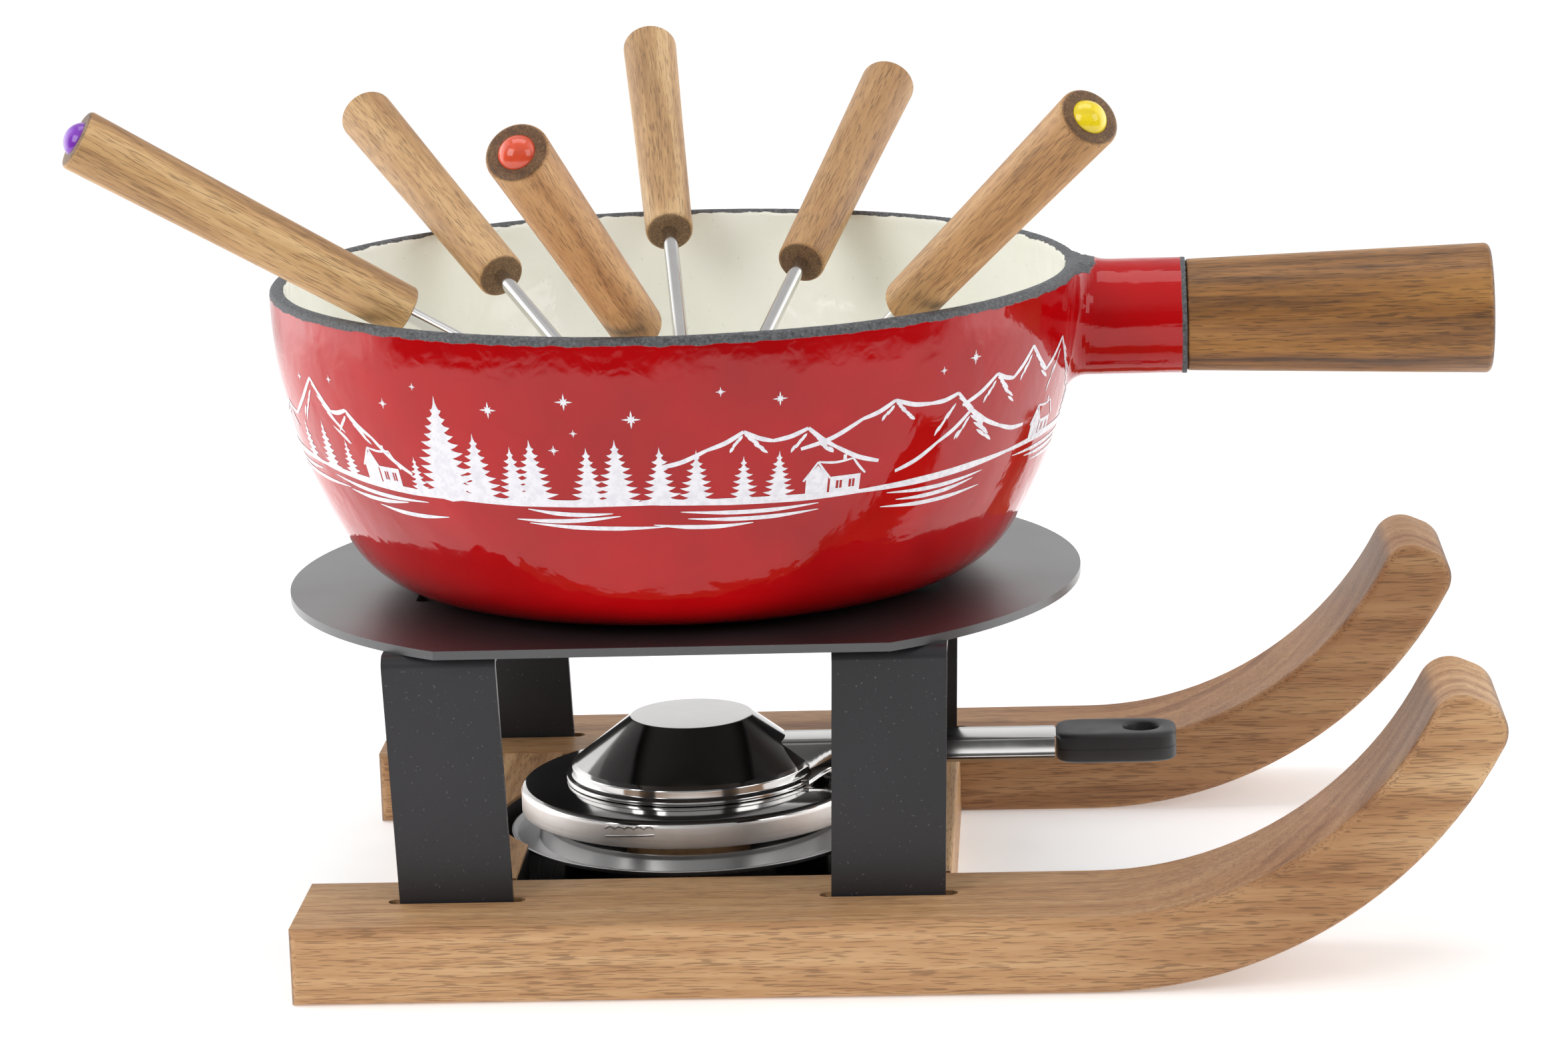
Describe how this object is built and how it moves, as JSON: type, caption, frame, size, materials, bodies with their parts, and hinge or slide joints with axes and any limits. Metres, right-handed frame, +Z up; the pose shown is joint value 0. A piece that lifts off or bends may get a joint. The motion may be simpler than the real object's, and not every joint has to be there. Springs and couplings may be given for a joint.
{
  "type": "fondue pot set",
  "caption": "Enamelled pot with a round wooden handle and forks, on a black steel stand slotted into a wooden sledge base, with a spirit burner under it.",
  "frame": {"origin": "on the table under the pot's axis, the middle of the board's underside", "axes": "+X along the sledge towards its noses and the pot's handle, +Y towards the back runner, +Z up"},
  "size_m": [0.3994, 0.376, 0.2547],
  "materials": {
    "acacia_sledge": "oiled satin",
    "dowel_wood": "raw",
    "black_steel": "satin powder coat",
    "enamel": "glossy enamel, bare iron rim",
    "acacia_grip": "oiled satin",
    "bolt_steel": "plated",
    "fork_steel": "polished",
    "acacia_fork": "oiled satin",
    "polished_steel": "mirror and brushed band",
    "fleece": "felted",
    "mesh_steel": "woven mesh",
    "black_plastic": "matte",
    "dot_purple": "gloss",
    "dot_green": "gloss",
    "dot_orange_red": "gloss",
    "dot_blue": "gloss",
    "dot_white": "gloss",
    "dot_yellow": "gloss"
  },
  "bodies": {
    "sledge": {"runner_front": "acacia_sledge", "runner_back": "acacia_sledge", "base_board": "acacia_sledge", "dowel_front_tail": "dowel_wood", "dowel_front_nose": "dowel_wood", "dowel_back_tail": "dowel_wood", "dowel_back_nose": "dowel_wood"},
    "stand": {"top_plate": "black_steel", "bracket_right": "black_steel", "bracket_left": "black_steel"},
    "pot": {"pot_body": "enamel", "pot_grip": "acacia_grip", "grip_bolt": "bolt_steel"},
    "fork_1": {"fork_1_rod": "fork_steel", "fork_1_handle": "acacia_fork", "fork_1_dot": "dot_purple"},
    "fork_2": {"fork_2_rod": "fork_steel", "fork_2_handle": "acacia_fork", "fork_2_dot": "dot_green"},
    "fork_3": {"fork_3_rod": "fork_steel", "fork_3_handle": "acacia_fork", "fork_3_dot": "dot_orange_red"},
    "fork_4": {"fork_4_rod": "fork_steel", "fork_4_handle": "acacia_fork", "fork_4_dot": "dot_blue"},
    "fork_5": {"fork_5_rod": "fork_steel", "fork_5_handle": "acacia_fork", "fork_5_dot": "dot_white"},
    "fork_6": {"fork_6_rod": "fork_steel", "fork_6_handle": "acacia_fork", "fork_6_dot": "dot_yellow"},
    "burner": {"burner_dish": "polished_steel", "burner_cup": "polished_steel", "burner_fleece": "fleece", "burner_vent_plate": "polished_steel", "burner_mesh": "mesh_steel"},
    "lid": {"burner_lid": "polished_steel"},
    "snuffer": {"snuffer_cap": "polished_steel", "snuffer_arm": "polished_steel", "snuffer_grip": "black_plastic"}
  },
  "joints": [
    {"name": "stand_lift", "type": "slide", "parent": "sledge", "child": "stand", "axis": [0, 0, 1], "range_m": [0, 0.06]},
    {"name": "pot_lift", "type": "slide", "parent": "stand", "child": "pot", "axis": [0, 0, 1], "range_m": [0, 0.08]},
    {"name": "fork_1_draw", "type": "slide", "parent": "pot", "child": "fork_1", "axis": [-0.8136, -0.2519, 0.524], "range_m": [0, 0.15]},
    {"name": "fork_2_draw", "type": "slide", "parent": "pot", "child": "fork_2", "axis": [-0.4848, 0.7849, 0.3859], "range_m": [0, 0.15]},
    {"name": "fork_3_draw", "type": "slide", "parent": "pot", "child": "fork_3", "axis": [-0.2101, -0.7897, 0.5764], "range_m": [0, 0.15]},
    {"name": "fork_4_draw", "type": "slide", "parent": "pot", "child": "fork_4", "axis": [-0.1114, 0.8816, 0.4587], "range_m": [0, 0.15]},
    {"name": "fork_5_draw", "type": "slide", "parent": "pot", "child": "fork_5", "axis": [0.2441, 0.8743, 0.4195], "range_m": [0, 0.15]},
    {"name": "fork_6_draw", "type": "slide", "parent": "pot", "child": "fork_6", "axis": [0.4924, -0.6534, 0.575], "range_m": [0, 0.15]},
    {"name": "burner_lift", "type": "slide", "parent": "sledge", "child": "burner", "axis": [0, 0, 1], "range_m": [0, 0.02]},
    {"name": "lid_turn", "type": "hinge", "parent": "burner", "child": "lid", "pos_m": [0, 0, 0.0325], "axis": [0, 0, 1], "range_deg": [0, 22.5]},
    {"name": "snuffer_lift", "type": "slide", "parent": "lid", "child": "snuffer", "axis": [0, 0, 1], "range_m": [0, 0.018]}
  ]
}
